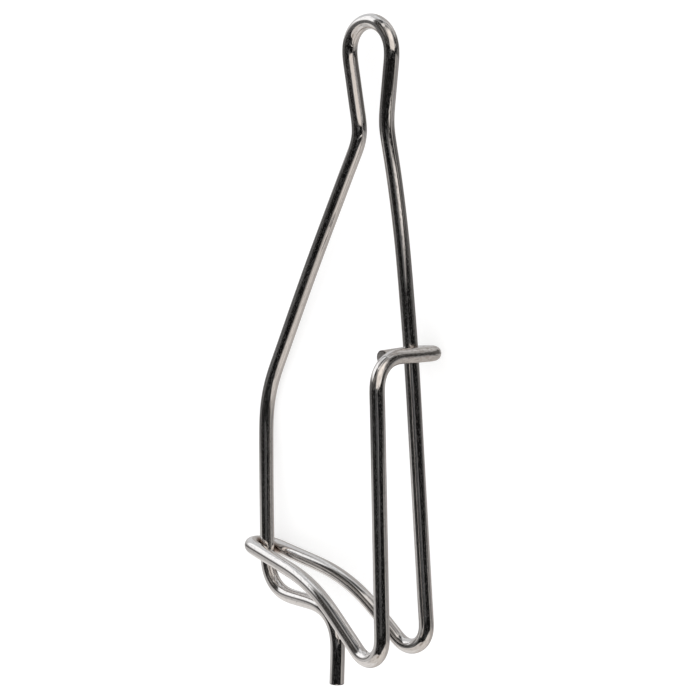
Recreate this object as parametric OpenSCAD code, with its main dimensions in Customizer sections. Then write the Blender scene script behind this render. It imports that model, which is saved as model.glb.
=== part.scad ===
// Line snap bent from one length of round stainless spring wire.
// It lies on its back, on the elbow, the loop and the hook: the eye points to +Y and the latch is at +X.

/* [Wire] */
// Diameter of the spring wire
wire_d = 2.9; // [2.6:0.1:3.0]
// Clearance where one run of the wire slides past another
slip = 0.12; // [0.1:0.02:0.3]
// Loss of diameter where bending has stretched the wire
bend_thinning = 0.02; // [0.01:0.005:0.04]
// Chamfer on the two cut ends
end_chamfer = 0.25; // [0.1:0.05:0.6]

/* [Overall] */
// Length from the cut end of the tail to the top of the eye
overall_l = 128.5; // [127:0.5:134]
// Half the spread of the front and back frames at their U bends, axis to middle plane
half_spread = 6.7; // [6:0.1:8]

/* [Eye] */
// Left side of the eye, measured from the latch line
eye_left = 10.1; // [9.9:0.1:12]
// Right side of the eye, past the latch line
eye_right = 3.2; // [3:0.1:5]
// Bend radius of the eye's two shoulders, on the axis
eye_r = 5.5; // [5:0.1:5.6]
// Height of the eye above the middle plane
eye_lift = 3.5; // [1:0.1:4.5]

/* [Neck] */
// Left bend of the neck, measured from the latch line
neck_left = 8.2; // [7.5:0.1:9]
// Left bend of the neck, measured from the tail's end
neck_left_y = 106.1; // [104:0.2:109]
// Bend radius there
neck_left_r = 6; // [3:0.5:8]
// Right bend of the neck, measured from the latch line
neck_right = 1.2; // [0.5:0.1:1.8]
// Right bend of the neck, measured from the tail's end
neck_right_y = 107.9; // [106.9:0.2:109.9]
// Bend radius there
neck_right_r = 7; // [3:0.5:12]
// Height of the neck above the middle plane
neck_lift = 2; // [1:0.1:2.4]

/* [Arm] */
// Elbow of the arm, measured from the latch line
elbow_x = 39.8; // [38:0.1:42]
// Elbow of the arm, measured from the tail's end
elbow_y = 55.8; // [52.8:0.5:61.8]
// Bend radius of the elbow
elbow_r = 23; // [10:1:35]
// Foot of the arm, measured from the latch line
foot_x = 40.5; // [39.5:0.1:42]
// Foot of the arm, measured from the tail's end
foot_y = 16.6; // [15.5:0.1:17.5]
// Bend radius of the foot
foot_r = 7; // [5:0.5:8]
// Outward bow of the lower arm, between foot and elbow
lower_bow = 0.3; // [0.1:0.05:0.4]
// Outward bow of the upper arm, between elbow and neck
upper_bow = 0.5; // [0.2:0.05:0.7]
// Bend radius of the two bows
bow_r = 600; // [300:50:800]

/* [Tail] */
// Corner between the crank and the tail, measured from the latch line
tail_x = 19.4; // [18:0.1:21]
// Straight drop from that corner to the cut end
tail_l = 14.5; // [12:0.1:16]
// How far the cut end leans towards the arm
tail_lean = 0.9; // [0:0.1:2]
// Bend radius of the corner
tail_r = 7; // [5:0.5:8]

/* [Jaw] */
// Point of the U bends, where rail and upright would cross, above the tail's end
u_y = 2.9; // [2:0.1:5]
// Bend radius of the U bends
u_r = 4.4; // [3.8:0.1:5]
// Crown of the rails, measured from the latch line
rail_x = 21.2; // [19:0.1:23]
// Crown of the rails, measured from the tail's end
rail_y = 20.2; // [19:0.1:21.5]
// Bend radius of the crown
rail_r = 35; // [25:1:45]
// Loop round the arm, measured from the tail's end
loop_y = 26; // [24.5:0.1:27]
// How much lower the loop is at the back than at the front
loop_drop = 0.5; // [0:0.1:1]

/* [Leg] */
// Foot of the leg at the back U bend, measured from the latch line
leg_foot_x = 1.3; // [0.5:0.1:2]
// How far the corner of the leg's lower sweep stands out past the middle of the hook
leg_low_out = 0.1; // [0.06:0.01:0.14]
// Middle of the leg's lower sweep, measured from the tail's end
leg_low_y = 64.6; // [62:0.2:68]
// Depth of the leg there, below the middle plane
leg_low_drop = 5.3; // [4.8:0.1:6]
// Bend radius of the lower sweep
leg_low_r = 170; // [100:10:200]
// Middle of the leg's upper sweep, measured from the latch line
leg_high_x = 2.4; // [1.8:0.1:2.8]
// Middle of the leg's upper sweep, measured from the tail's end
leg_high_y = 91.7; // [88.1:0.2:92.3]
// Depth of the leg there, below the middle plane
leg_high_drop = 2.3; // [1.6:0.1:2.5]
// Bend radius of the upper sweep
leg_high_r = 160; // [100:10:200]

/* [Latch] */
// Height of the hook, measured from the tail's end
hook_y = 64.5; // [62:0.2:68]
// Bend radius where the latch turns back into the hook
latch_r = 5.6; // [4:0.1:7]
// Reach of the hook, from the latch to the middle of its U bend
hook_l = 16.6; // [15:0.1:18]
// How much the hook rises from the latch to its U bend
hook_rise = 0.3; // [0:0.1:1]
// Distance from the latch back to the cut tip of the hook
tip_l = 7; // [6:0.1:9]
// How far the cut tip has dropped below the latch's corner
tip_drop = 0.3; // [0:0.1:1]

/* [Hidden] */

// Spacing of two runs of the wire that slide past each other
pass = wire_d + slip;
eye_top = overall_l - wire_d / 2;
// Middles of the two bowed stretches of the arm
lower_mid = [-(foot_x + elbow_x) / 2 - lower_bow, (foot_y + elbow_y) / 2, 0];
upper_mid = [-(elbow_x + neck_left) / 2 - upper_bow, (elbow_y + neck_left_y) / 2, neck_lift / 2];
// The arm runs straight from its foot through the middle of the loop's bend
arm_at_loop = foot_x - (lower_mid.x + foot_x) * (loop_y - foot_y) / (lower_mid.y - foot_y);
loop_x = arm_at_loop + pass;
// The rails spread evenly from the loop to the U bends
rail_spread = pass + (half_spread - pass) * (loop_x - rail_x) / loop_x;
leg_low_x = pass + leg_low_out;
hook_z = half_spread - hook_l;
// The hook's two corners are a little tighter than a half circle, which leaves straight wire between
hook_r = pass - 0.15;

// Corners of the wire's axis in the order in which it is bent, each with its bend radius.
// X is 0 on the latch, Y is 0 at the tail's cut end and Z is 0 on the middle plane.
CORNERS = [
    [[-tail_x - tail_lean, 0, 0], 0],
    [[-tail_x, tail_l, 0], tail_r],
    [[-foot_x, foot_y, 0], foot_r],
    [lower_mid, bow_r],
    [[-elbow_x, elbow_y, 0], elbow_r],
    [upper_mid, bow_r],
    [[-neck_left, neck_left_y, neck_lift], neck_left_r],
    [[-eye_left, eye_top, eye_lift], eye_r],
    [[eye_right, eye_top, eye_lift], eye_r],
    [[-neck_right, neck_right_y, neck_lift], neck_right_r],
    [[-leg_high_x, leg_high_y, -leg_high_drop], leg_high_r],
    [[-leg_low_x, leg_low_y, -leg_low_drop], leg_low_r],
    [[-leg_foot_x, u_y, -half_spread], u_r],
    [[-rail_x, rail_y, -rail_spread], rail_r],
    [[-loop_x, loop_y - loop_drop, -pass], pass],
    [[-loop_x, loop_y, pass], pass],
    [[-rail_x, rail_y, rail_spread], rail_r],
    [[0, u_y, half_spread], u_r],
    [[0, hook_y, half_spread], latch_r],
    [[0, hook_y + hook_rise, hook_z], hook_r],
    [[-2 * pass, hook_y + hook_rise, hook_z], hook_r],
    [[-2 * pass, hook_y - tip_drop, half_spread - tip_l], 0],
];
LAST = len(CORNERS) - 1;

function corner(i) = CORNERS[i][0];
function radius(i) = CORNERS[i][1];
function unit(v) = v / norm(v);
function run(i) = unit(corner(i + 1) - corner(i));
function turn(i) = acos(run(i - 1) * run(i));
function is_end(i) = i == 0 || i == LAST;
function setback(i) = is_end(i) ? 0 : radius(i) * tan(turn(i) / 2);

// Bend i starts at bend_start(i), and bend_out(i) points from its centre to that start
function bend_start(i) = corner(i) - setback(i) * run(i - 1);
function bend_out(i) = -unit(run(i) - cos(turn(i)) * run(i - 1));
function bend_centre(i) = bend_start(i) - radius(i) * bend_out(i);
function run_start(i) = corner(i) + setback(i) * run(i);
function run_end(i) = corner(i + 1) - setback(i + 1) * run(i);

// Points of the axis with their directions, close enough together to find the outline box
BEND_STEPS = 24;
function bend_axis(i) = [
    for (k = [0:BEND_STEPS])
        let (a = turn(i) * k / BEND_STEPS)
        [
            bend_centre(i) + radius(i) * (cos(a) * bend_out(i) + sin(a) * run(i - 1)),
            cos(a) * run(i - 1) - sin(a) * bend_out(i)
        ]
];
AXIS = [
    for (i = [0:LAST - 1]) [run_start(i), run(i)],
    for (i = [0:LAST - 1]) [run_end(i), run(i)],
    for (i = [1:LAST - 1]) each bend_axis(i),
];

// The snap comes to rest on three bends: the elbow, the back of the loop and the end of the hook.
// DOWN is square to the plane that touches all three, found from a first guess in a few rounds.
ELBOW = 4;
LOOP_BACK = 14;
HOOK_END = 20;
function reach(i, d) = max([for (s = bend_axis(i)) s[0] * d]);
function touch(i, d) = [for (s = bend_axis(i)) if (s[0] * d == reach(i, d)) s[0]][0];
function resting(d, rounds) = rounds == 0 ? d :
    resting(
        unit(cross(touch(LOOP_BACK, d) - touch(HOOK_END, d), touch(ELBOW, d) - touch(HOOK_END, d))),
        rounds - 1
    );
DOWN = resting([-0.3, 0.1, -1], 4);
rest_roll = atan(-DOWN.x / DOWN.z);
rest_pitch = atan(DOWN.y / rolled(DOWN, rest_roll).z);

function rolled(v, a) = [v.x * cos(a) + v.z * sin(a), v.y, v.z * cos(a) - v.x * sin(a)];
function pitched(v, a) = [v.x, v.y * cos(a) - v.z * sin(a), v.y * sin(a) + v.z * cos(a)];
function laid(v) = pitched(rolled(v, rest_roll), rest_pitch);
// Half the width of the round section along one axis, for wire that runs in direction d
function half_width(d, k) = wire_d / 2 * sqrt(max(0, 1 - d[k] * d[k]));
function low(k) = min([for (s = AXIS) laid(s[0])[k] - half_width(laid(s[1]), k)]);
function high(k) = max([for (s = AXIS) laid(s[0])[k] + half_width(laid(s[1]), k)]);
FOOTPRINT_CENTRE = [(low(0) + high(0)) / 2, (low(1) + high(1)) / 2, low(2)];

// Turns +Z into the direction d
module along(d) {
    rotate([0, acos(d.z), atan2(d.y, d.x)])
        children();
}

// Straight wire between bends i and i + 1, its cut ends chamfered
module straight_run(i) {
    from = i == 0 ? end_chamfer : 0;
    to = i == LAST - 1 ? end_chamfer : 0;
    length = norm(run_end(i) - run_start(i));
    translate(run_start(i))
        along(run(i)) {
            translate([0, 0, from])
                cylinder(d = wire_d, h = length - from - to, $fn = 48);
            if (i == 0)
                cylinder(d1 = wire_d - 2 * end_chamfer, d2 = wire_d, h = end_chamfer, $fn = 48);
            if (i == LAST - 1)
                translate([0, 0, length - end_chamfer])
                    cylinder(d1 = wire_d, d2 = wire_d - 2 * end_chamfer, h = end_chamfer, $fn = 48);
        }
}

// Round bend at corner i, the thinner wire of which starts and ends inside the straight wire
module bend(i) {
    grip = 0.05 / radius(i) * 180 / PI;
    axis = unit(cross(run(i - 1), run(i)));
    tilt = acos(axis.z);
    yaw = atan2(axis.y, axis.x);
    side = [cos(tilt) * cos(yaw), cos(tilt) * sin(yaw), -sin(tilt)];
    up = [-sin(yaw), cos(yaw), 0];
    spin = atan2(bend_out(i) * up, bend_out(i) * side);
    translate(bend_centre(i))
        rotate([0, tilt, yaw])
            rotate([0, 0, spin - grip])
                rotate_extrude(angle = turn(i) + 2 * grip, $fn = max(90, 4 * 360 / turn(i)))
                    translate([radius(i), 0])
                        circle(d = wire_d - bend_thinning, $fn = 48);
}

module snap_wire() {
    color("silver")
        translate(-FOOTPRINT_CENTRE)
            rotate([rest_pitch, 0, 0])
                rotate([0, rest_roll, 0])
                    union() {
                        for (i = [0:LAST - 1])
                            straight_run(i);
                        for (i = [1:LAST - 1])
                            bend(i);
                    }
}

snap_wire();
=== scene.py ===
# Looks of a line snap: one length of round stainless spring wire, bent and cut.
# It lies at rest on a pale floor: the eye points to +Y and the latch is at +X. The photograph shows
# it upright, so the camera looks down at it from one side and is turned to match.

import math
from collections import namedtuple
from types import SimpleNamespace

import bpy
import numpy as np
from mathutils import Matrix


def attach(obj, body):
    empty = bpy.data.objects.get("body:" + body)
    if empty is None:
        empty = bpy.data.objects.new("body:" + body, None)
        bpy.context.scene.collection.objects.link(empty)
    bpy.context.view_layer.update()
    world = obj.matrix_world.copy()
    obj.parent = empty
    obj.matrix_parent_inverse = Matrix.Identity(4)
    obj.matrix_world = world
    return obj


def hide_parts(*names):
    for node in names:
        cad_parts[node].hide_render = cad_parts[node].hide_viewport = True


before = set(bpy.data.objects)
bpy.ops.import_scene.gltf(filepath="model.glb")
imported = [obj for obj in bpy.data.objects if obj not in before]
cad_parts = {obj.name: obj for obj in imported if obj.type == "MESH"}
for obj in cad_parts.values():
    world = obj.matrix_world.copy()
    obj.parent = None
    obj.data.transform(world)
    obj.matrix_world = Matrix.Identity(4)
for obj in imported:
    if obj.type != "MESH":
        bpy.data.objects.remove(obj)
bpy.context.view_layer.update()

MM = 0.001

# The wire's driving dimensions in millimetres, the same as in the part's source: its diameter, the
# clearance where one run slides past another, its length and half the spread of its two frames
WIRE_D = 2.9
SLIP = 0.12
OVERALL_L = 128.5
HALF_SPREAD = 6.7
# The eye: its two sides, the bend radius of its shoulders and its height over the middle plane
EYE_LEFT = 10.1
EYE_RIGHT = 3.2
EYE_R = 5.5
EYE_LIFT = 3.5
# The neck's two bends, and its height over the middle plane
NECK_LEFT = 8.2
NECK_LEFT_Y = 106.1
NECK_LEFT_R = 6
NECK_RIGHT = 1.2
NECK_RIGHT_Y = 107.9
NECK_RIGHT_R = 7
NECK_LIFT = 2
# The arm: its elbow, its foot and the outward bows below and above the elbow
ELBOW_X = 39.8
ELBOW_Y = 55.8
ELBOW_R = 23
FOOT_X = 40.5
FOOT_Y = 16.6
FOOT_R = 7
LOWER_BOW = 0.3
UPPER_BOW = 0.5
BOW_R = 600
# The tail: its corner, the drop to its cut end and how far that leans towards the arm
TAIL_X = 19.4
TAIL_L = 14.5
TAIL_LEAN = 0.9
TAIL_R = 7
# The jaw: the U bends, the crown of the rails and the loop round the arm
U_Y = 2.9
U_R = 4.4
RAIL_X = 21.2
RAIL_Y = 20.2
RAIL_R = 35
LOOP_Y = 26
LOOP_DROP = 0.5
# The leg: its foot, its lower sweep and its upper one
LEG_FOOT_X = 1.3
LEG_LOW_OUT = 0.1
LEG_LOW_Y = 64.6
LEG_LOW_DROP = 5.3
LEG_LOW_R = 170
LEG_HIGH_X = 2.4
LEG_HIGH_Y = 91.7
LEG_HIGH_DROP = 2.3
LEG_HIGH_R = 160
# The latch's top bend, the hook, how much tighter than a half circle its corners are, and its tip
HOOK_Y = 64.5
LATCH_R = 5.6
HOOK_L = 16.6
HOOK_RISE = 0.3
HOOK_TIGHTER = 0.15
TIP_L = 7
TIP_DROP = 0.3

# Spacing of two runs of the wire that slide past each other
PASS = WIRE_D + SLIP
EYE_TOP = OVERALL_L - WIRE_D / 2
# Middles of the two bowed stretches of the arm
LOWER_MID = (-(FOOT_X + ELBOW_X) / 2 - LOWER_BOW, (FOOT_Y + ELBOW_Y) / 2, 0)
UPPER_MID = (-(ELBOW_X + NECK_LEFT) / 2 - UPPER_BOW, (ELBOW_Y + NECK_LEFT_Y) / 2, NECK_LIFT / 2)
# The arm runs straight from its foot through the middle of the loop's bend
ARM_AT_LOOP = FOOT_X - (LOWER_MID[0] + FOOT_X) * (LOOP_Y - FOOT_Y) / (LOWER_MID[1] - FOOT_Y)
LOOP_X = ARM_AT_LOOP + PASS
# The rails spread evenly from the loop to the U bends
RAIL_SPREAD = PASS + (HALF_SPREAD - PASS) * (LOOP_X - RAIL_X) / LOOP_X
LEG_LOW_X = PASS + LEG_LOW_OUT
HOOK_Z = HALF_SPREAD - HOOK_L
HOOK_R = PASS - HOOK_TIGHTER

# Corners of the wire's axis in the order in which it is bent, each with its bend radius.
# X is 0 on the latch, Y is 0 at the tail's cut end and Z is 0 on the middle plane.
CORNERS = [
    ((-TAIL_X - TAIL_LEAN, 0, 0), 0),
    ((-TAIL_X, TAIL_L, 0), TAIL_R),
    ((-FOOT_X, FOOT_Y, 0), FOOT_R),
    (LOWER_MID, BOW_R),
    ((-ELBOW_X, ELBOW_Y, 0), ELBOW_R),
    (UPPER_MID, BOW_R),
    ((-NECK_LEFT, NECK_LEFT_Y, NECK_LIFT), NECK_LEFT_R),
    ((-EYE_LEFT, EYE_TOP, EYE_LIFT), EYE_R),
    ((EYE_RIGHT, EYE_TOP, EYE_LIFT), EYE_R),
    ((-NECK_RIGHT, NECK_RIGHT_Y, NECK_LIFT), NECK_RIGHT_R),
    ((-LEG_HIGH_X, LEG_HIGH_Y, -LEG_HIGH_DROP), LEG_HIGH_R),
    ((-LEG_LOW_X, LEG_LOW_Y, -LEG_LOW_DROP), LEG_LOW_R),
    ((-LEG_FOOT_X, U_Y, -HALF_SPREAD), U_R),
    ((-RAIL_X, RAIL_Y, -RAIL_SPREAD), RAIL_R),
    ((-LOOP_X, LOOP_Y - LOOP_DROP, -PASS), PASS),
    ((-LOOP_X, LOOP_Y, PASS), PASS),
    ((-RAIL_X, RAIL_Y, RAIL_SPREAD), RAIL_R),
    ((0, U_Y, HALF_SPREAD), U_R),
    ((0, HOOK_Y, HALF_SPREAD), LATCH_R),
    ((0, HOOK_Y + HOOK_RISE, HOOK_Z), HOOK_R),
    ((-2 * PASS, HOOK_Y + HOOK_RISE, HOOK_Z), HOOK_R),
    ((-2 * PASS, HOOK_Y - TIP_DROP, HALF_SPREAD - TIP_L), 0),
]
# The three bends on which the snap lies
ELBOW = 4
LOOP_BACK = 14
HOOK_END = 20
# The first bend that the pliers marked, at the top of the latch
LATCH_BEND = 18

# Where down is, roughly, when the snap lies, and how finely and how often it is sought again
ROUGHLY_DOWN = (-0.3, 0.1, -1)
ARC_STEPS = 24
REST_ROUNDS = 4

# Sides of the swept wire's section, its steps in millimetres and the fewest of them in a bend
SIDES = 48
STEP = 0.3
BEND_STEPS = 4
# How far a bend eases in and out of a straight, for its radius and at most
EASE_SHARE = 0.33
EASE_MOST = 2.6
# How fast and how softly that length may grow along the wire
EASE_CLIMB = 0.2
EASE_SOFT = 2
# How many times the greatest such length the easing takes in to either side
EASE_REACH = 4
# Keeps a division safe where the wire runs straight
TINY = 1e-12

# The cut ends: the radius of their edge and the angles of its rings, how far their faces dome and
# how far out from the middle the rings of the face lie
CUT_EDGE = 0.12
EDGE_ANGLES = (0, 30, 60, 90)
CUT_DOME = 0.05
FACE_SHARES = (0.8, 0.7, 0.5, 0.25, 0.05)
# The length over which the pliers' marks begin
WORKED_FADE = 7
# How much wire to either side of a point is no other turn, and how far from one the painted shade
# between turns reaches
OWN_STRETCH = 12
CREVICE_REACH = 2.2


def unit(v):
    return v / np.linalg.norm(v)


def mirrored(v, normal):
    """A vector mirrored in the plane that is square to another one."""
    return v - 2 * np.dot(normal, v) / max(np.dot(normal, normal), TINY) * normal


class Bend:
    """The arc that rounds one corner of the axis."""

    def __init__(self, before, corner, after, radius):
        onward = unit(after - corner)
        self.along = unit(corner - before)
        self.radius = radius
        self.turn = math.acos(np.dot(self.along, onward))
        self.start = corner - radius * math.tan(self.turn / 2) * self.along
        self.out = -unit(onward - math.cos(self.turn) * self.along)
        self.centre = self.start - radius * self.out

    def point(self, a):
        return self.centre + self.radius * (math.cos(a) * self.out + math.sin(a) * self.along)

    def points(self, steps):
        return [self.point(self.turn * k / steps) for k in range(steps + 1)]


def bends_of(corners):
    """The bend at each corner but the first and the last, under its place in the list."""
    places = [np.array(c, float) for c, r in corners]
    radii = [r for c, r in corners]
    return {i: Bend(*places[i - 1:i + 2], radii[i]) for i in range(1, len(corners) - 1)}


BENDS = bends_of(CORNERS)
FIRST = np.array(CORNERS[0][0], float)
FINAL = np.array(CORNERS[-1][0], float)


def lowest_point(bend, down):
    return max(bend.points(ARC_STEPS), key=lambda p: np.dot(p, down))


def resting_down():
    """The direction that is down when the snap lies on its three lowest bends."""
    down = np.array(ROUGHLY_DOWN)
    for _ in range(REST_ROUNDS):
        elbow = lowest_point(BENDS[ELBOW], down)
        loop = lowest_point(BENDS[LOOP_BACK], down)
        hook = lowest_point(BENDS[HOOK_END], down)
        down = unit(np.cross(loop - hook, elbow - hook))
    return down


def resting_turn():
    """The matrix that turns the wire from its own axes to those in which it lies at rest."""
    down = resting_down()
    roll = math.atan(-down[0] / down[2])
    about_y = np.array([
        [math.cos(roll), 0, math.sin(roll)],
        [0, 1, 0],
        [-math.sin(roll), 0, math.cos(roll)],
    ])
    rolled = about_y @ down
    pitch = math.atan(rolled[1] / rolled[2])
    about_x = np.array([
        [1, 0, 0],
        [0, math.cos(pitch), -math.sin(pitch)],
        [0, math.sin(pitch), math.cos(pitch)],
    ])
    return about_x @ about_y


def wire_axis():
    """Evenly spaced points of the axis, from tail to tip, and the radius to which each is bent."""
    points = [FIRST]
    radii = [BOW_R]
    for bend in BENDS.values():
        steps = max(BEND_STEPS, round(bend.radius * bend.turn / STEP))
        points += bend.points(steps)
        radii += [bend.radius] * (steps + 1)
    points = np.array(points + [FINAL])
    radii.append(BOW_R)
    lengths = np.linalg.norm(np.diff(points, axis=0), axis=1)
    along = np.concatenate([[0], np.cumsum(lengths)])
    even = np.linspace(0, along[-1], round(along[-1] / STEP) + 1)
    points = np.column_stack([np.interp(even, along, points[:, k]) for k in range(3)])
    return points, np.interp(even, along, radii)


def ease_lengths(radii):
    """How far each point's bend is eased: a share of its radius that changes only slowly."""
    wanted = np.minimum(radii * EASE_SHARE, EASE_MOST)
    along = np.arange(len(radii)) * STEP
    apart = np.hypot(along[:, None] - along, EASE_SOFT) - EASE_SOFT
    return (wanted + apart * EASE_CLIMB).min(1)


def eased(points, eases):
    """The points with each bend eased in and out over its own length, but not drawn inwards."""
    reach = round(EASE_REACH * EASE_MOST / STEP)
    offsets = np.arange(-reach, reach + 1)
    weights = np.exp(-offsets ** 2 / (2 * (eases[:, None] / STEP) ** 2))
    weights /= weights.sum(1)[:, None]
    windows = np.arange(len(points))[:, None] + reach + offsets

    def smoothed(p, before, after):
        whole = np.concatenate([before, p, after])
        return np.einsum("ij,ijk->ik", weights, whole[windows])

    before = 2 * points[0] - points[reach:0:-1]
    after = 2 * points[-1] - points[-2:-reach - 2:-1]
    none = np.zeros((reach, 3))
    once = smoothed(points, before, after)
    return once + smoothed(points - once, none, none)


def headings_of(points):
    """The direction in which the wire runs at each point."""
    directions = np.gradient(points, axis=0)
    return directions / np.linalg.norm(directions, axis=1)[:, None]


def carried_sides(points, directions):
    """A vector square to the axis at each point, carried along it without twist."""
    side = unit(np.cross(directions[0], [0, 0, 1]))
    sides = [side]
    for k in range(1, len(points)):
        step = points[k] - points[k - 1]
        turn = directions[k] - mirrored(directions[k - 1], step)
        side = mirrored(mirrored(side, step), turn)
        side = unit(side - np.dot(side, directions[k]) * directions[k])
        sides.append(side)
    return np.array(sides)


def footprint_centre(points, directions):
    """The point that lies at the origin: the middle of the outline box's underside."""
    half = WIRE_D / 2 * np.sqrt(np.maximum(0, 1 - directions ** 2))
    low = (points - half).min(0)
    high = (points + half).max(0)
    return np.array([(low[0] + high[0]) / 2, (low[1] + high[1]) / 2, low[2]])


TURN = resting_turn()
AXIS, BENT_TO = wire_axis()
CENTRE = footprint_centre(AXIS @ TURN.T, headings_of(AXIS) @ TURN.T)
# The axis as it lies, with its bends eased
LAID = eased(AXIS, ease_lengths(BENT_TO)) @ TURN.T
LAID_HEADINGS = headings_of(LAID)


def place(p):
    """A point of the wire's own axes, in millimetres, to where it lies, in metres."""
    return (TURN @ np.array(p, float) - CENTRE) * MM


def crevices():
    """How near each point of the axis is to another turn, 1 where they touch, and on which side."""
    own_stretch = round(OWN_STRETCH / STEP)
    close = np.zeros(len(LAID))
    toward = np.zeros((len(LAID), 3))
    for k, p in enumerate(LAID):
        apart = np.linalg.norm(LAID - p, axis=1)
        apart[max(0, k - own_stretch):k + own_stretch] = math.inf
        nearest = apart.argmin()
        close[k] = max(0, 1 - (apart[nearest] - WIRE_D) / CREVICE_REACH)
        toward[k] = unit(LAID[nearest] - p)
    return close, toward


def worked():
    """How scuffed each point is: the pliers held the wire from the latch's top bend to the tip."""
    start = np.linalg.norm(AXIS - BENDS[LATCH_BEND].start, axis=1).argmin()
    reach = (np.arange(len(AXIS)) - start) * STEP
    return np.clip(reach / WORKED_FADE, 0, 1)


Ring = namedtuple("Ring", "centre heading side along close toward worked radius cut rim")


def cut_end(ring, outward):
    """Rings that round the edge of a cut end and dome its face a little, from side to middle."""

    def moved(back, radius, rim):
        centre = ring.centre - outward * back * ring.heading
        return ring._replace(centre=centre, radius=radius, cut=1, rim=rim)

    made = []
    for angle in EDGE_ANGLES:
        back = CUT_DOME + CUT_EDGE * (1 - math.sin(math.radians(angle)))
        inwards = CUT_EDGE * (1 - math.cos(math.radians(angle)))
        # These rings of the rounded edge carry the rim's painted shade
        made.append(moved(back, ring.radius - inwards, 1))
    for share in FACE_SHARES:
        made.append(moved(CUT_DOME * share ** 2, ring.radius * share, 0))
    return made


def wire_rings():
    """The rings through which the wire is swept, from the tail's face to the tip's."""
    centres = LAID - CENTRE
    sides = carried_sides(LAID, LAID_HEADINGS)
    along = np.arange(len(AXIS)) * STEP
    close, toward = crevices()
    lists = (centres, LAID_HEADINGS, sides, along, close, toward, worked())
    rings = [Ring(*parts, WIRE_D / 2, 0, 0) for parts in zip(*lists)]
    return cut_end(rings[0], -1)[::-1] + rings[1:-1] + cut_end(rings[-1], 1)


def ring_faces(count):
    """Faces that join so many rings and close both ends."""
    faces = []
    for k in range(count - 1):
        for j in range(SIDES):
            n = (j + 1) % SIDES
            faces.append((k * SIDES + j, k * SIDES + n, (k + 1) * SIDES + n, (k + 1) * SIDES + j))
    last = (count - 1) * SIDES
    faces.append(tuple(reversed(range(SIDES))))
    faces.append(tuple(range(last, last + SIDES)))
    return faces


def note_points(mesh, name, values):
    """Give each point of a mesh a number or a vector, which its material reads under this name."""
    values = np.array(values, np.float32)
    if values.ndim == 1:
        kind, field = "FLOAT", "value"
    else:
        kind, field = "FLOAT_VECTOR", "vector"
    mesh.attributes.new(name, kind, "POINT").data.foreach_set(field, values.ravel())


def shown(name, data):
    """A new object in the scene."""
    thing = bpy.data.objects.new(name, data)
    bpy.context.scene.collection.objects.link(thing)
    return thing


def snap_wire():
    """The wire, swept along its axis and closed by its two cut ends."""
    rings = wire_rings()
    verts = []
    notes = {"unbent": [], "crevice": [], "cut": [], "rim": [], "worked": []}
    for ring in rings:
        across = np.cross(ring.heading, ring.side)
        for t in np.arange(SIDES) * 2 * math.pi / SIDES:
            out = math.cos(t) * ring.side + math.sin(t) * across
            section = (ring.radius * math.cos(t), ring.radius * math.sin(t))
            verts.append((ring.centre + ring.radius * out) * MM)
            notes["unbent"].append((*section, ring.along))
            # How much this side faces a nearby turn, which sets the painted shade between turns
            notes["crevice"].append(ring.close * max(0, np.dot(out, ring.toward)))
            notes["cut"].append(ring.cut)
            notes["rim"].append(ring.rim)
            notes["worked"].append(ring.worked)
    mesh = bpy.data.meshes.new("spring_wire")
    mesh.from_pydata([tuple(v) for v in verts], [], ring_faces(len(rings)))
    mesh.validate()
    mesh.shade_smooth()
    for name, values in notes.items():
        note_points(mesh, name, values)
    return shown("spring_wire", mesh)


class Graph:
    """A tree of nodes. Most of its methods add nodes and give their result."""

    def __init__(self, tree):
        self.tree = tree

    def add(self, kind):
        return self.tree.nodes.new(kind)

    def feed(self, socket, value):
        """Link a result to a socket, or set the socket to a number or a colour."""
        if isinstance(value, bpy.types.NodeSocket):
            self.tree.links.new(value, socket)
        elif isinstance(value, tuple):
            socket.default_value = (*value, 1)
        else:
            socket.default_value = value

    def maths(self, operation, *values):
        node = self.add("ShaderNodeMath")
        node.operation = operation
        for socket, value in zip(node.inputs, values):
            self.feed(socket, value)
        return node.outputs[0]

    def times(self, first, second):
        return self.maths("MULTIPLY", first, second)

    def total(self, first, *others):
        for value in others:
            first = self.maths("ADD", first, value)
        return first

    def rise(self, value, low, high):
        """A soft step from 0 at the low value to 1 at the high one."""
        node = self.add("ShaderNodeMapRange")
        node.interpolation_type = "SMOOTHSTEP"
        self.feed(node.inputs["Value"], value)
        self.feed(node.inputs["From Min"], low)
        self.feed(node.inputs["From Max"], high)
        return node.outputs["Result"]

    def part_along(self, vector, axis):
        """How much of a vector lies along an axis."""
        node = self.add("ShaderNodeVectorMath")
        node.operation = "DOT_PRODUCT"
        self.feed(node.inputs[0], vector)
        node.inputs[1].default_value = tuple(axis)
        return node.outputs["Value"]

    def mixed(self, share, first, second):
        """One colour with a share of a second one over it."""
        node = self.add("ShaderNodeMix")
        node.data_type = "RGBA"
        self.feed(node.inputs["Factor"], share)
        self.feed(node.inputs[6], first)
        self.feed(node.inputs[7], second)
        return node.outputs[2]

    def blended(self, share, first, second):
        """One shader with a share of a second one over it."""
        node = self.add("ShaderNodeMixShader")
        self.feed(node.inputs[0], share)
        self.feed(node.inputs[1], first)
        self.feed(node.inputs[2], second)
        return node.outputs[0]

    def noted(self, name):
        """What each point of the mesh was given under this name."""
        node = self.add("ShaderNodeAttribute")
        node.attribute_name = name
        return node.outputs

    def marks(self, unbent, round_it, along_it, layers):
        """Noise over the wire, stretched by how many marks it has round it and along it."""
        stretched = self.add("ShaderNodeVectorMath")
        stretched.operation = "MULTIPLY"
        self.feed(stretched.inputs[0], unbent)
        stretched.inputs[1].default_value = (round_it, round_it, along_it)
        noise = self.add("ShaderNodeTexNoise")
        noise.inputs["Scale"].default_value = 1
        noise.inputs["Detail"].default_value = layers
        self.feed(noise.inputs["Vector"], stretched.outputs[0])
        return noise.outputs["Fac"]


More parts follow.
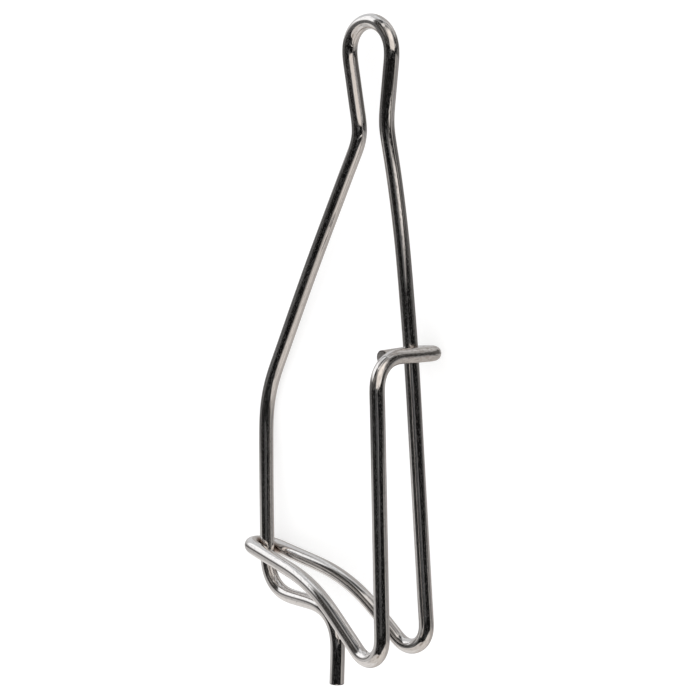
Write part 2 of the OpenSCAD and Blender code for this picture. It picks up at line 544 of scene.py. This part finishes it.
# Marks on the steel: how many to the millimetre round the wire and along it, and how many finer
# layers of the same each has
DRAW_LINES = (2.8, 0.16, 2)
FINE_LINES = (6.0, 0.30, 2)
WAVES = (0.5, 0.10, 1)
PITS = (3.4, 1.3, 2)
GRAIN = (4.6, 2.0, 1)
SCUFFS = (1.6, 0.9, 3)
PATCHES = (0.5, 0.07, 2)
SHEAR = (2.0, 0.5, 2)
# Where some of them, and the painted shade between turns and on the cut ends' rims, begin and where
# they are full
PITS_SPAN = (0.50, 0.68)
GRAIN_SPAN = (0.48, 0.66)
SCUFFS_SPAN = (0.46, 0.66)
PATCHES_SPAN = (0.35, 0.65)
CREVICE_SHADE_SPAN = (0.35, 0.80)
RIM_SHADE_SPAN = (0.20, 0.90)
# How much of the pits shows where no pliers held the wire, and of the painted shade between turns
# outside a patch
PITS_UNWORKED = 0.7
CREVICE_SHADE_EVEN = 0.45
# Depths in millimetres
DRAW_DEPTH = 0.008
FINE_DEPTH = 0.002
WAVE_DEPTH = 0.03
PIT_DEPTH = 0.0008
SCUFF_DEPTH = 0.012
SHEAR_DEPTH = 0.05
# Colours, painted shade among them, and how much of those below them they hide
STEEL_PALE = (0.77, 0.75, 0.74)
STEEL_DEEP = (0.69, 0.67, 0.66)
SCUFF_TINT = (0.55, 0.50, 0.47)
SCUFF_HIDES = 0.6
PIT_TINT = (0.40, 0.38, 0.37)
PIT_HIDES = 0.4
# Brown painted shade where one turn faces another
CREVICE_SHADE = (0.18, 0.10, 0.055)
CREVICE_SHADE_HIDES = 0.8
# Dark painted shade on the rounded rims of the cut ends
RIM_SHADE = (0.13, 0.11, 0.10)
RIM_SHADE_HIDES = 0.85
# How much of the bright metal the thin dull film hides in the grain and in the pits
FILM = 0.03
# Roughness of the bare steel, and what adds to it
ROUGH_BARE = 0.035
ROUGH_LINES = 0.05
ROUGH_PITS = 0.12
ROUGH_SCUFFS = 0.05
ROUGH_WORKED = 0.02
ROUGH_CREVICE = 0.25
ROUGH_CUT = 0.22


def steel_marks(graph):
    """How strong each mark of the steel, and each painted shade, is at each point of the wire."""
    unbent = graph.noted("unbent")["Vector"]
    worked_here = graph.noted("worked")["Fac"]
    patches = graph.marks(unbent, *PATCHES)
    pits = graph.rise(graph.marks(unbent, *PITS), *PITS_SPAN)
    scuffs = graph.rise(graph.marks(unbent, *SCUFFS), *SCUFFS_SPAN)
    pits_shown = graph.total(PITS_UNWORKED, graph.times(worked_here, 1 - PITS_UNWORKED))
    crevice_shade = graph.times(graph.noted("crevice")["Fac"], graph.total(patches, CREVICE_SHADE_EVEN))
    return SimpleNamespace(
        draw_lines=graph.marks(unbent, *DRAW_LINES),
        fine_lines=graph.marks(unbent, *FINE_LINES),
        waves=graph.marks(unbent, *WAVES),
        shear=graph.marks(unbent, *SHEAR),
        patches=patches,
        grain=graph.rise(graph.marks(unbent, *GRAIN), *GRAIN_SPAN),
        pits=pits,
        pitted=graph.times(pits, pits_shown),
        scuffed=graph.times(scuffs, worked_here),
        worked=worked_here,
        crevice_shade=graph.rise(crevice_shade, *CREVICE_SHADE_SPAN),
        rim=graph.rise(graph.noted("rim")["Fac"], *RIM_SHADE_SPAN),
        cut=graph.noted("cut")["Fac"],
    )


def steel_colour(graph, marks):
    """Steel in faint patches, with scuffs and pits, brown painted shade where turns face each other
    and dark painted shade on the rims of its cut ends.
    """
    patches = graph.rise(marks.patches, *PATCHES_SPAN)
    colour = graph.mixed(patches, STEEL_DEEP, STEEL_PALE)
    colour = graph.mixed(graph.times(marks.scuffed, SCUFF_HIDES), colour, SCUFF_TINT)
    colour = graph.mixed(graph.times(marks.pitted, PIT_HIDES), colour, PIT_TINT)
    # Brown painted shade on the sides of turns that face one another
    colour = graph.mixed(graph.times(marks.crevice_shade, CREVICE_SHADE_HIDES), colour, CREVICE_SHADE)
    # Dark painted shade on the rounded rims of the cut ends
    return graph.mixed(graph.times(marks.rim, RIM_SHADE_HIDES), colour, RIM_SHADE)


def steel_bareness(graph, marks):
    """Bright metal but for the thin dull film in its grain and pits."""
    film = graph.total(graph.times(marks.grain, FILM), graph.times(marks.pitted, FILM))
    return graph.maths("SUBTRACT", 1, film)


def steel_roughness(graph, marks):
    """Smooth where it is bare, rougher where it is marked, in the painted shade between turns or
    cut.
    """
    return graph.total(
        ROUGH_BARE,
        graph.times(marks.draw_lines, ROUGH_LINES),
        graph.times(marks.pitted, ROUGH_PITS),
        graph.times(marks.scuffed, ROUGH_SCUFFS),
        graph.times(marks.worked, ROUGH_WORKED),
        graph.times(marks.crevice_shade, ROUGH_CREVICE),
        graph.times(marks.cut, ROUGH_CUT),
    )


def steel_relief(graph, marks):
    """Lines and waves left by drawing, pits, scuffs, and the torn faces of the cut ends."""
    height = graph.total(
        graph.times(marks.draw_lines, DRAW_DEPTH),
        graph.times(marks.fine_lines, FINE_DEPTH),
        graph.times(marks.waves, WAVE_DEPTH),
        graph.times(marks.pits, -PIT_DEPTH),
        graph.times(marks.scuffed, -SCUFF_DEPTH),
        graph.times(graph.times(marks.shear, marks.cut), SHEAR_DEPTH),
    )
    bump = graph.add("ShaderNodeBump")
    bump.inputs["Strength"].default_value = 1
    bump.inputs["Distance"].default_value = MM
    graph.feed(bump.inputs["Height"], height)
    return bump.outputs["Normal"]


def steel():
    """Bright drawn stainless steel, with the marks of its making and use, brown painted shade
    between its turns and dark painted shade on the rims of its cut ends.
    """
    material = bpy.data.materials.new("drawn_steel")
    material.use_nodes = True
    graph = Graph(material.node_tree)
    marks = steel_marks(graph)
    shader = material.node_tree.nodes["Principled BSDF"]
    graph.feed(shader.inputs["Base Color"], steel_colour(graph, marks))
    graph.feed(shader.inputs["Metallic"], steel_bareness(graph, marks))
    graph.feed(shader.inputs["Roughness"], steel_roughness(graph, marks))
    graph.feed(shader.inputs["Normal"], steel_relief(graph, marks))
    return material


wire = snap_wire()
wire.data.materials.append(steel())
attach(wire, "root")
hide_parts("snap_wire")

# The camera in the wire's own axes: how far it stands to the side and above and how far it is
# rolled, in degrees, and its distance from the point that it faces, in millimetres
CAMERA_YAW = 47.56
CAMERA_PITCH = 2.53
CAMERA_ROLL = -1.14
CAMERA_DISTANCE = 389.94
CAMERA_TARGET = (-12.69, 65.66, 1.7)
# Its lens and its film's width in millimetres, and the nearest that it sees in metres
CAMERA_LENS = 105
CAMERA_FILM = 36
CAMERA_NEAR = 0.01


def camera_axes():
    """The photograph's right, up and towards the camera, in the axes in which the snap lies."""
    yaw = math.radians(CAMERA_YAW)
    pitch = math.radians(CAMERA_PITCH)
    roll = math.radians(CAMERA_ROLL)
    aside = np.array([math.sin(yaw), 0, math.cos(yaw)])
    back = aside * math.cos(pitch) + np.array([0, math.sin(pitch), 0])
    level = np.array([math.cos(yaw), 0, -math.sin(yaw)])
    upright = np.cross(back, level)
    right = level * math.cos(roll) + upright * math.sin(roll)
    up = upright * math.cos(roll) - level * math.sin(roll)
    return TURN @ right, TURN @ up, TURN @ back


RIGHT, UP, BACK = camera_axes()


def add_camera():
    data = bpy.data.cameras.new("camera")
    data.lens = CAMERA_LENS
    data.sensor_width = CAMERA_FILM
    data.clip_start = CAMERA_NEAR
    camera = shown("camera", data)
    spot = place(CAMERA_TARGET) + CAMERA_DISTANCE * MM * BACK
    rows = np.column_stack([RIGHT, UP, BACK, spot])
    camera.matrix_world = Matrix([*rows.tolist(), [0, 0, 0, 1]])
    bpy.context.scene.camera = camera


# Corners of a flat piece, in halves of its sides
QUARTERS = ((-1, -1), (1, -1), (1, 1), (-1, 1))


def flat_piece(name, verts, material):
    mesh = bpy.data.meshes.new(name)
    mesh.from_pydata([tuple(v) for v in verts], [], [(0, 1, 2, 3)])
    mesh.materials.append(material)
    return shown(name, mesh)


def emptied(name):
    """A new material without nodes, and its graph."""
    material = bpy.data.materials.new(name)
    material.use_nodes = True
    material.node_tree.nodes.clear()
    return material, Graph(material.node_tree)


# Half the floor's width in metres, its colour, and how far the camera sees it lifted to white
FLOOR_HALF = 3
FLOOR_GREY = (0.55, 0.55, 0.55)
FLOOR_LIFT = 0.6


def floor_paint():
    """Pale matt paint that turns white where no shadow falls."""
    material, graph = emptied("pale_floor")
    paint = graph.add("ShaderNodeBsdfDiffuse")
    graph.feed(paint.inputs["Color"], FLOOR_GREY)
    glow = graph.add("ShaderNodeEmission")
    seen = graph.add("ShaderNodeLightPath").outputs["Is Camera Ray"]
    graph.feed(glow.inputs["Strength"], graph.times(seen, FLOOR_LIFT))
    both = graph.add("ShaderNodeAddShader")
    graph.feed(both.inputs[0], paint.outputs[0])
    graph.feed(both.inputs[1], glow.outputs[0])
    out = graph.add("ShaderNodeOutputMaterial")
    graph.feed(out.inputs["Surface"], both.outputs[0])
    return material


def add_floor():
    """A wide floor, which the wire doesn't mirror."""
    verts = [(x * FLOOR_HALF, y * FLOOR_HALF, 0) for x, y in QUARTERS]
    floor = flat_piece("floor", verts, floor_paint())
    floor.visible_glossy = False


# The studio as the bright wire mirrors it, seen from the wire. Across is degrees to the right of
# the camera and above is degrees over level. Each panel hangs in front of those before it in the
# list: its level (1 is white), its warmth (red less blue), its centre, its size, how soft its
# upright and level edges are, and how much its level edges climb and its upright edges lean.
Panel = namedtuple("Panel", "name level warmth centre size soft climb lean")
ALL_ROUND = 400
PANELS = [
    Panel("back_right", 0.50, 0.06, (150, 15), (110, 90), (20, 15), 0, 0),
    Panel("back_left", 0.66, 0.02, (-165, 15), (90, 90), (20, 15), 0, 0),
    Panel("floor_far", 0.46, 0.12, (128, -14), (136, 18), (10, 6), 0, 0),
    Panel("floor_wide", 0.50, 0.12, (128, -36), (136, 28), (10, 6), 0, 0),
    Panel("floor_below", 0.70, 0.12, (0, -72), (ALL_ROUND, 54), (1, 12), 0, 0),
    Panel("ceiling", 0.62, 0.00, (0, 86), (ALL_ROUND, 28), (1, 14), 0, 0),
    Panel("ceiling_left", 1.00, -0.06, (-120, 81), (80, 38), (20, 12), 0, 0),
    Panel("ceiling_dim", 0.42, 0.00, (0, 77), (110, 12), (30, 8), 0, 0),
    Panel("ceiling_crown", 0.46, 0.00, (-5, 90), (120, 14), (20, 4), 0, 0),
    Panel("ceiling_slot", 0.90, 0.00, (38, 83.5), (46, 3), (10, 2), 0, 0),
    Panel("ceiling_streak", 0.80, 0.04, (120, 57), (18, 26), (8, 8), -0.8, 0),
    Panel("key_glow", 0.76, -0.03, (-128, 46), (100, 44), (10, 10), 0, 0),
    Panel("key_panel", 1.35, -0.02, (-100, 36), (50, 36), (5, 10), -0.15, 0.25),
    Panel("key_foot", 0.13, 0.02, (-114, -10), (62, 42), (10, 4), 0, 0),
    Panel("right_wall", 0.12, 0.10, (98, 13), (84, 30), (14, 10), 0.05, 0),
    Panel("wall_foot", 0.30, 0.05, (98, -11), (50, 10), (14, 5), 0, 0),
    Panel("wall_dark", 0.03, 0.05, (88, 3), (20, 18), (10, 8), 0, 0),
    Panel("wall_line", 0.18, 0.05, (122, 3), (58, 6), (14, 4), 0, 0),
    Panel("right_flag", 0.02, 0.20, (71, 26), (24, 20), (4, 4), 0, 0),
    Panel("right_flag_top", 0.17, 0.00, (66, 42), (26, 14), (8, 8), 0, 0),
    Panel("shelf_light", 0.38, 0.10, (62, 11), (18, 5), (6, 4), 0, 0),
    Panel("upper_flag", 0.075, -0.08, (-40, 67), (48, 18), (10, 6), 0, 0),
    Panel("arch_left", 0.25, 0.00, (-64, 45), (24, 36), (8, 12), 0, 0.3),
    Panel("upper_slot", 0.07, -0.04, (-14, 79), (80, 8), (12, 4), 0.03, 0),
    Panel("upper_right", 0.42, 0.08, (68, 60), (76, 22), (14, 10), 0, 0),
    Panel("right_shade", 0.22, 0.08, (72, 70), (28, 8), (12, 5), 0, 0),
    Panel("left_column", 0.055, 0.10, (-50, 18), (66, 56), (5, 8), 0, 0.35),
    Panel("column_lamp", 0.22, 0.15, (-60, 18), (18, 16), (6, 6), 0, 0),
    Panel("upper_lamp", 0.95, 0.07, (-27, 55), (36, 15), (6, 4), 0.6, 0),
    Panel("arch_top", 0.66, 0.05, (18, 70), (48, 4), (10, 3), 0, 0),
    Panel("arch_under", 0.24, 0.05, (18, 63), (42, 8), (10, 4), 0, 0),
    Panel("arch_right", 0.80, 0.00, (60, 61), (32, 7), (8, 3), -0.6, 0),
    Panel("front_left", 0.30, 0.12, (-30, 30), (18, 26), (6, 6), 0, -0.3),
    Panel("front_top", 0.80, 0.10, (12, 43), (70, 22), (8, 6), 0, -0.3),
    Panel("arch_gap", 0.14, 0.05, (-7, 54), (12, 6), (5, 3), 0, 0),
    Panel("front_panel", 0.88, 0.16, (14.5, 19), (63, 42), (5, 2), 0, -0.2),
    Panel("front_heart", 1.15, 0.14, (18, 34), (42, 28), (14, 12), 0, 0),
    Panel("camera_side", 0.007, 0.05, (-10, -27.5), (146, 54), (6, 2), 0, 0),
    Panel("camera_shelf", 0.010, 0.05, (54, -2.5), (56, 11), (10, 3), 0.14, 0),
    Panel("shelf_end", 0.08, 0.05, (84, 0), (16, 8), (8, 4), 0, 0),
    Panel("camera_left", 0.022, 0.10, (-66, -12), (30, 22), (10, 6), 0, 0),
    Panel("camera_glow", 0.07, 0.00, (-14, -9), (34, 10), (12, 5), 0, 0),
    Panel("camera_core", 0.20, 0.00, (2, -8), (10, 5), (8, 4), 0, 0),
    Panel("camera_low", 0.04, 0.00, (-8, -40), (34, 18), (10, 6), 0, 0),
    Panel("floor_left", 0.84, 0.06, (-132, -54), (66, 80), (14, 8), 0, 0),
    Panel("floor_shade", 0.20, 0.06, (28, -42), (44, 9), (10, 4), 0.55, 0),
    Panel("floor_near_left", 0.68, 0.12, (-62, -79.5), (72, 86), (8, 3), -0.5, 0),
    Panel("floor_patch", 0.38, 0.24, (-36, -58), (38, 12), (12, 5), -0.2, 0),
    Panel("floor_near_right", 0.76, 0.14, (31, -70), (62, 56), (5, 3), 0.6, 0),
    Panel("floor_line", 0.30, 0.15, (2, -56), (44, 4), (12, 3), 0, 0),
    Panel("floor_right", 0.72, 0.14, (74, -60), (34, 52), (10, 8), 0, 0),
]
# What shows between the panels
EMPTY_ROOM = (0.42, 0.41, 0.40)
WHITE = (1, 1, 1)
BLACK = (0, 0, 0)


def tinted(level, warmth):
    return (level * (1 + warmth / 2), level, level * (1 - warmth / 2))


def panel_group():
    """A group that hangs one soft-edged panel in front of what is behind it."""
    group = bpy.data.node_groups.new("soft_panel", "ShaderNodeTree")
    numbers = (
        "Across", "Above", "Centre across", "Centre above", "Width", "Height",
        "Soft across", "Soft above", "Climb", "Lean",
    )
    for name in numbers:
        group.interface.new_socket(name, in_out="INPUT", socket_type="NodeSocketFloat")
    for name in ("Behind", "Panel"):
        group.interface.new_socket(name, in_out="INPUT", socket_type="NodeSocketColor")
    group.interface.new_socket("Color", in_out="OUTPUT", socket_type="NodeSocketColor")
    graph = Graph(group)
    given = graph.add("NodeGroupInput").outputs

    def within(offset, size, soft):
        """1 inside the panel and 0 outside, with a soft edge halfway through which it ends."""
        edge = graph.times(size, 0.5)
        half = graph.times(soft, 0.5)
        inner = graph.maths("SUBTRACT", edge, half)
        return graph.rise(graph.maths("ABSOLUTE", offset), graph.total(edge, half), inner)

    across = graph.maths("SUBTRACT", given["Across"], given["Centre across"])
    above = graph.maths("SUBTRACT", given["Above"], given["Centre above"])
    leaning = graph.maths("SUBTRACT", across, graph.times(above, given["Lean"]))
    climbing = graph.maths("SUBTRACT", above, graph.times(across, given["Climb"]))
    share = graph.times(
        within(leaning, given["Width"], given["Soft across"]),
        within(climbing, given["Height"], given["Soft above"]),
    )
    colour = graph.mixed(share, given["Behind"], given["Panel"])
    graph.feed(graph.add("NodeGroupOutput").inputs["Color"], colour)
    return group


SOFT_PANEL = panel_group()


def hung(graph, panel, across, above, behind):
    """One panel in front of what is behind it, in a graph that knows across and above."""
    node = graph.add("ShaderNodeGroup")
    node.node_tree = SOFT_PANEL
    node.label = panel.name
    values = {
        "Across": across,
        "Above": above,
        "Centre across": panel.centre[0],
        "Centre above": panel.centre[1],
        "Width": panel.size[0],
        "Height": panel.size[1],
        "Soft across": panel.soft[0],
        "Soft above": panel.soft[1],
        "Climb": panel.climb,
        "Lean": panel.lean,
        "Behind": behind,
        "Panel": tinted(panel.level, panel.warmth),
    }
    for name, value in values.items():
        graph.feed(node.inputs[name], value)
    return node.outputs["Color"]


def add_studio():
    """A plain white world, in which mirror reflections see the studio's panels."""
    world = bpy.data.worlds.new("studio")
    world.use_nodes = True
    world.node_tree.nodes.clear()
    world.cycles.sampling_method = "NONE"
    bpy.context.scene.world = world
    graph = Graph(world.node_tree)
    ray = graph.add("ShaderNodeTexCoord").outputs["Generated"]
    rightward = graph.part_along(ray, RIGHT)
    backward = graph.part_along(ray, BACK)
    across = graph.maths("DEGREES", graph.maths("ARCTAN2", rightward, backward))
    above = graph.maths("DEGREES", graph.maths("ARCSINE", graph.part_along(ray, UP)))
    studio = EMPTY_ROOM
    for panel in PANELS:
        studio = hung(graph, panel, across, above, studio)
    in_mirrors = graph.add("ShaderNodeBackground")
    graph.feed(in_mirrors.inputs["Color"], studio)
    plain = graph.add("ShaderNodeBackground")
    graph.feed(plain.inputs["Color"], WHITE)
    glossy = graph.add("ShaderNodeLightPath").outputs["Is Glossy Ray"]
    both = graph.blended(glossy, plain.outputs[0], in_mirrors.outputs[0])
    out = graph.add("ShaderNodeOutputWorld")
    graph.feed(out.inputs["Surface"], both)


# Cards that stand so close that each turn of the wire mirrors them elsewhere: each one's level and
# warmth, where it stands as seen from the middle of the snap and how far off in millimetres, its
# size and the softness of its edges in millimetres, and how far it is rolled.
Card = namedtuple("Card", "name level warmth across above distance size soft roll")
CARDS = [
    Card("bar_lamp", 1.05, 0.10, 34, 1.3, 105, (52, 7), (14, 3), 13.5),
    Card("bar_end", 0.50, 0.08, 14, -3.6, 107, (26, 8), (10, 4), 13.5),
    Card("bar_tail", 0.13, 0.00, -6, -6, 109, (46, 9), (12, 5), 0),
    Card("floor_rise", 0.58, 0.04, -125, -22, 200, (200, 70), (50, 30), 0),
    Card("front_low", 0.88, 0.16, 14.5, 7.4, 400, (430, 60), (30, 20), 0),
]


def card_frame(card):
    """A card's middle, in metres, and the directions of its width and height."""
    across = math.radians(card.across)
    above = math.radians(card.above)
    roll = math.radians(card.roll)
    level = math.cos(across) * RIGHT - math.sin(across) * BACK
    outward = math.sin(across) * RIGHT + math.cos(across) * BACK
    toward = math.cos(above) * outward + math.sin(above) * UP
    upright = math.cos(above) * UP - math.sin(above) * outward
    wide = math.cos(roll) * level + math.sin(roll) * upright
    tall = math.cos(roll) * upright - math.sin(roll) * level
    return place(CAMERA_TARGET) + card.distance * MM * toward, wide, tall


def card_glow(card):
    """A glow that fades to nothing at the card's edges."""
    material, graph = emptied(card.name)
    spread = graph.add("ShaderNodeSeparateXYZ")
    graph.feed(spread.inputs[0], graph.noted("spread")["Vector"])
    edges = Panel(card.name, 1, 0, (0, 0), card.size, card.soft, 0, 0)
    share = hung(graph, edges, spread.outputs[0], spread.outputs[1], BLACK)
    glow = graph.add("ShaderNodeEmission")
    graph.feed(glow.inputs["Color"], tinted(card.level, card.warmth))
    clear = graph.add("ShaderNodeBsdfTransparent")
    both = graph.blended(share, clear.outputs[0], glow.outputs[0])
    out = graph.add("ShaderNodeOutputMaterial")
    graph.feed(out.inputs["Surface"], both)
    material.cycles.emission_sampling = "NONE"
    return material


def add_card(card):
    """A flat card that faces the snap and that only the wire's mirror reflections see."""
    centre, wide, tall = card_frame(card)
    half = [(size + soft) / 2 for size, soft in zip(card.size, card.soft)]
    spread = [(x * half[0], y * half[1], 0) for x, y in QUARTERS]
    verts = [centre + (x * wide + y * tall) * MM for x, y, _ in spread]
    piece = flat_piece(card.name, verts, card_glow(card))
    note_points(piece.data, "spread", spread)
    piece.visible_camera = False
    piece.visible_diffuse = False
    piece.visible_shadow = False


add_camera()
add_floor()
add_studio()
for card in CARDS:
    add_card(card)
bpy.context.scene.view_settings.view_transform = "Standard"
